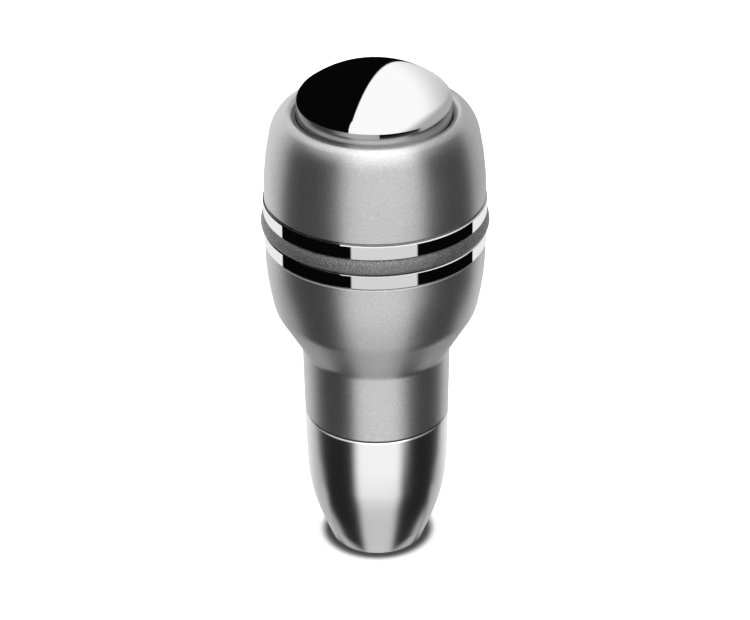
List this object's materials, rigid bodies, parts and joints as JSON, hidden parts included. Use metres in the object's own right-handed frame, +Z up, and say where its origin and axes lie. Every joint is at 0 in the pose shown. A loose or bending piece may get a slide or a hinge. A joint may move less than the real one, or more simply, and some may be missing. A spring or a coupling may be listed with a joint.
{
  "type": "gear shift knob",
  "caption": "Slim metal gear shift knob with a domed push button, a leather band between polished rings, a waisted satin body and a polished screw-on collar.",
  "frame": {"origin": "centre of the round foot that the knob stands on, on its axis", "axes": "+Z up along the knob's axis, from the lever towards the button; the knob is round, so X and Y are free"},
  "size_m": [0.0478, 0.0478, 0.1132],
  "materials": {
    "polished_chrome": "polished chrome plate",
    "satin_metal": "fine satin, clear",
    "band_leather": "grained, slightly shiny",
    "plain_steel": "bright zinc plate",
    "turned_alloy": "as turned",
    "moulded_plastic": "moulded, matt",
    "black_rubber": "plain"
  },
  "bodies": {
    "knob_body": {"return_spring": "plain_steel", "button_guide": "moulded_plastic", "upper_shell": "satin_metal", "upper_trim_ring": "polished_chrome", "grip_band": "band_leather", "lower_trim_ring": "polished_chrome", "lower_shell": "satin_metal", "band_carrier": "turned_alloy", "core_tube": "turned_alloy", "lock_washer": "plain_steel", "clamp_nut": "plain_steel", "lever_adapter": "turned_alloy", "lever_sleeve": "moulded_plastic", "grub_screw_1": "plain_steel", "grub_screw_2": "plain_steel", "grub_screw_3": "plain_steel"},
    "button": {"push_button": "polished_chrome", "push_rod": "plain_steel", "rod_foot": "moulded_plastic", "rod_clip": "plain_steel"},
    "seal_ring": {"collar_o_ring": "black_rubber"},
    "collar": {"collar": "polished_chrome"}
  },
  "joints": [
    {"name": "button_press", "type": "slide", "parent": "knob_body", "child": "button", "axis": [0, 0, -1], "range_m": [0, 0.006], "stiffness_N_per_m": 800, "springref_m": -0.004, "deforming": ["return_spring"]},
    {"name": "collar_turn", "type": "hinge", "parent": "knob_body", "child": "seal_ring", "pos_m": [0, 0, 0.03], "axis": [0, 0, -1], "range_deg": [0, 1800]},
    {"name": "collar_travel", "type": "slide", "parent": "seal_ring", "child": "collar", "axis": [0, 0, -1], "range_m": [0, 0.0075]}
  ],
  "couplings": [
    {"joint": "collar_travel", "follows": "collar_turn", "m_per_rad": 0.00023873}
  ]
}
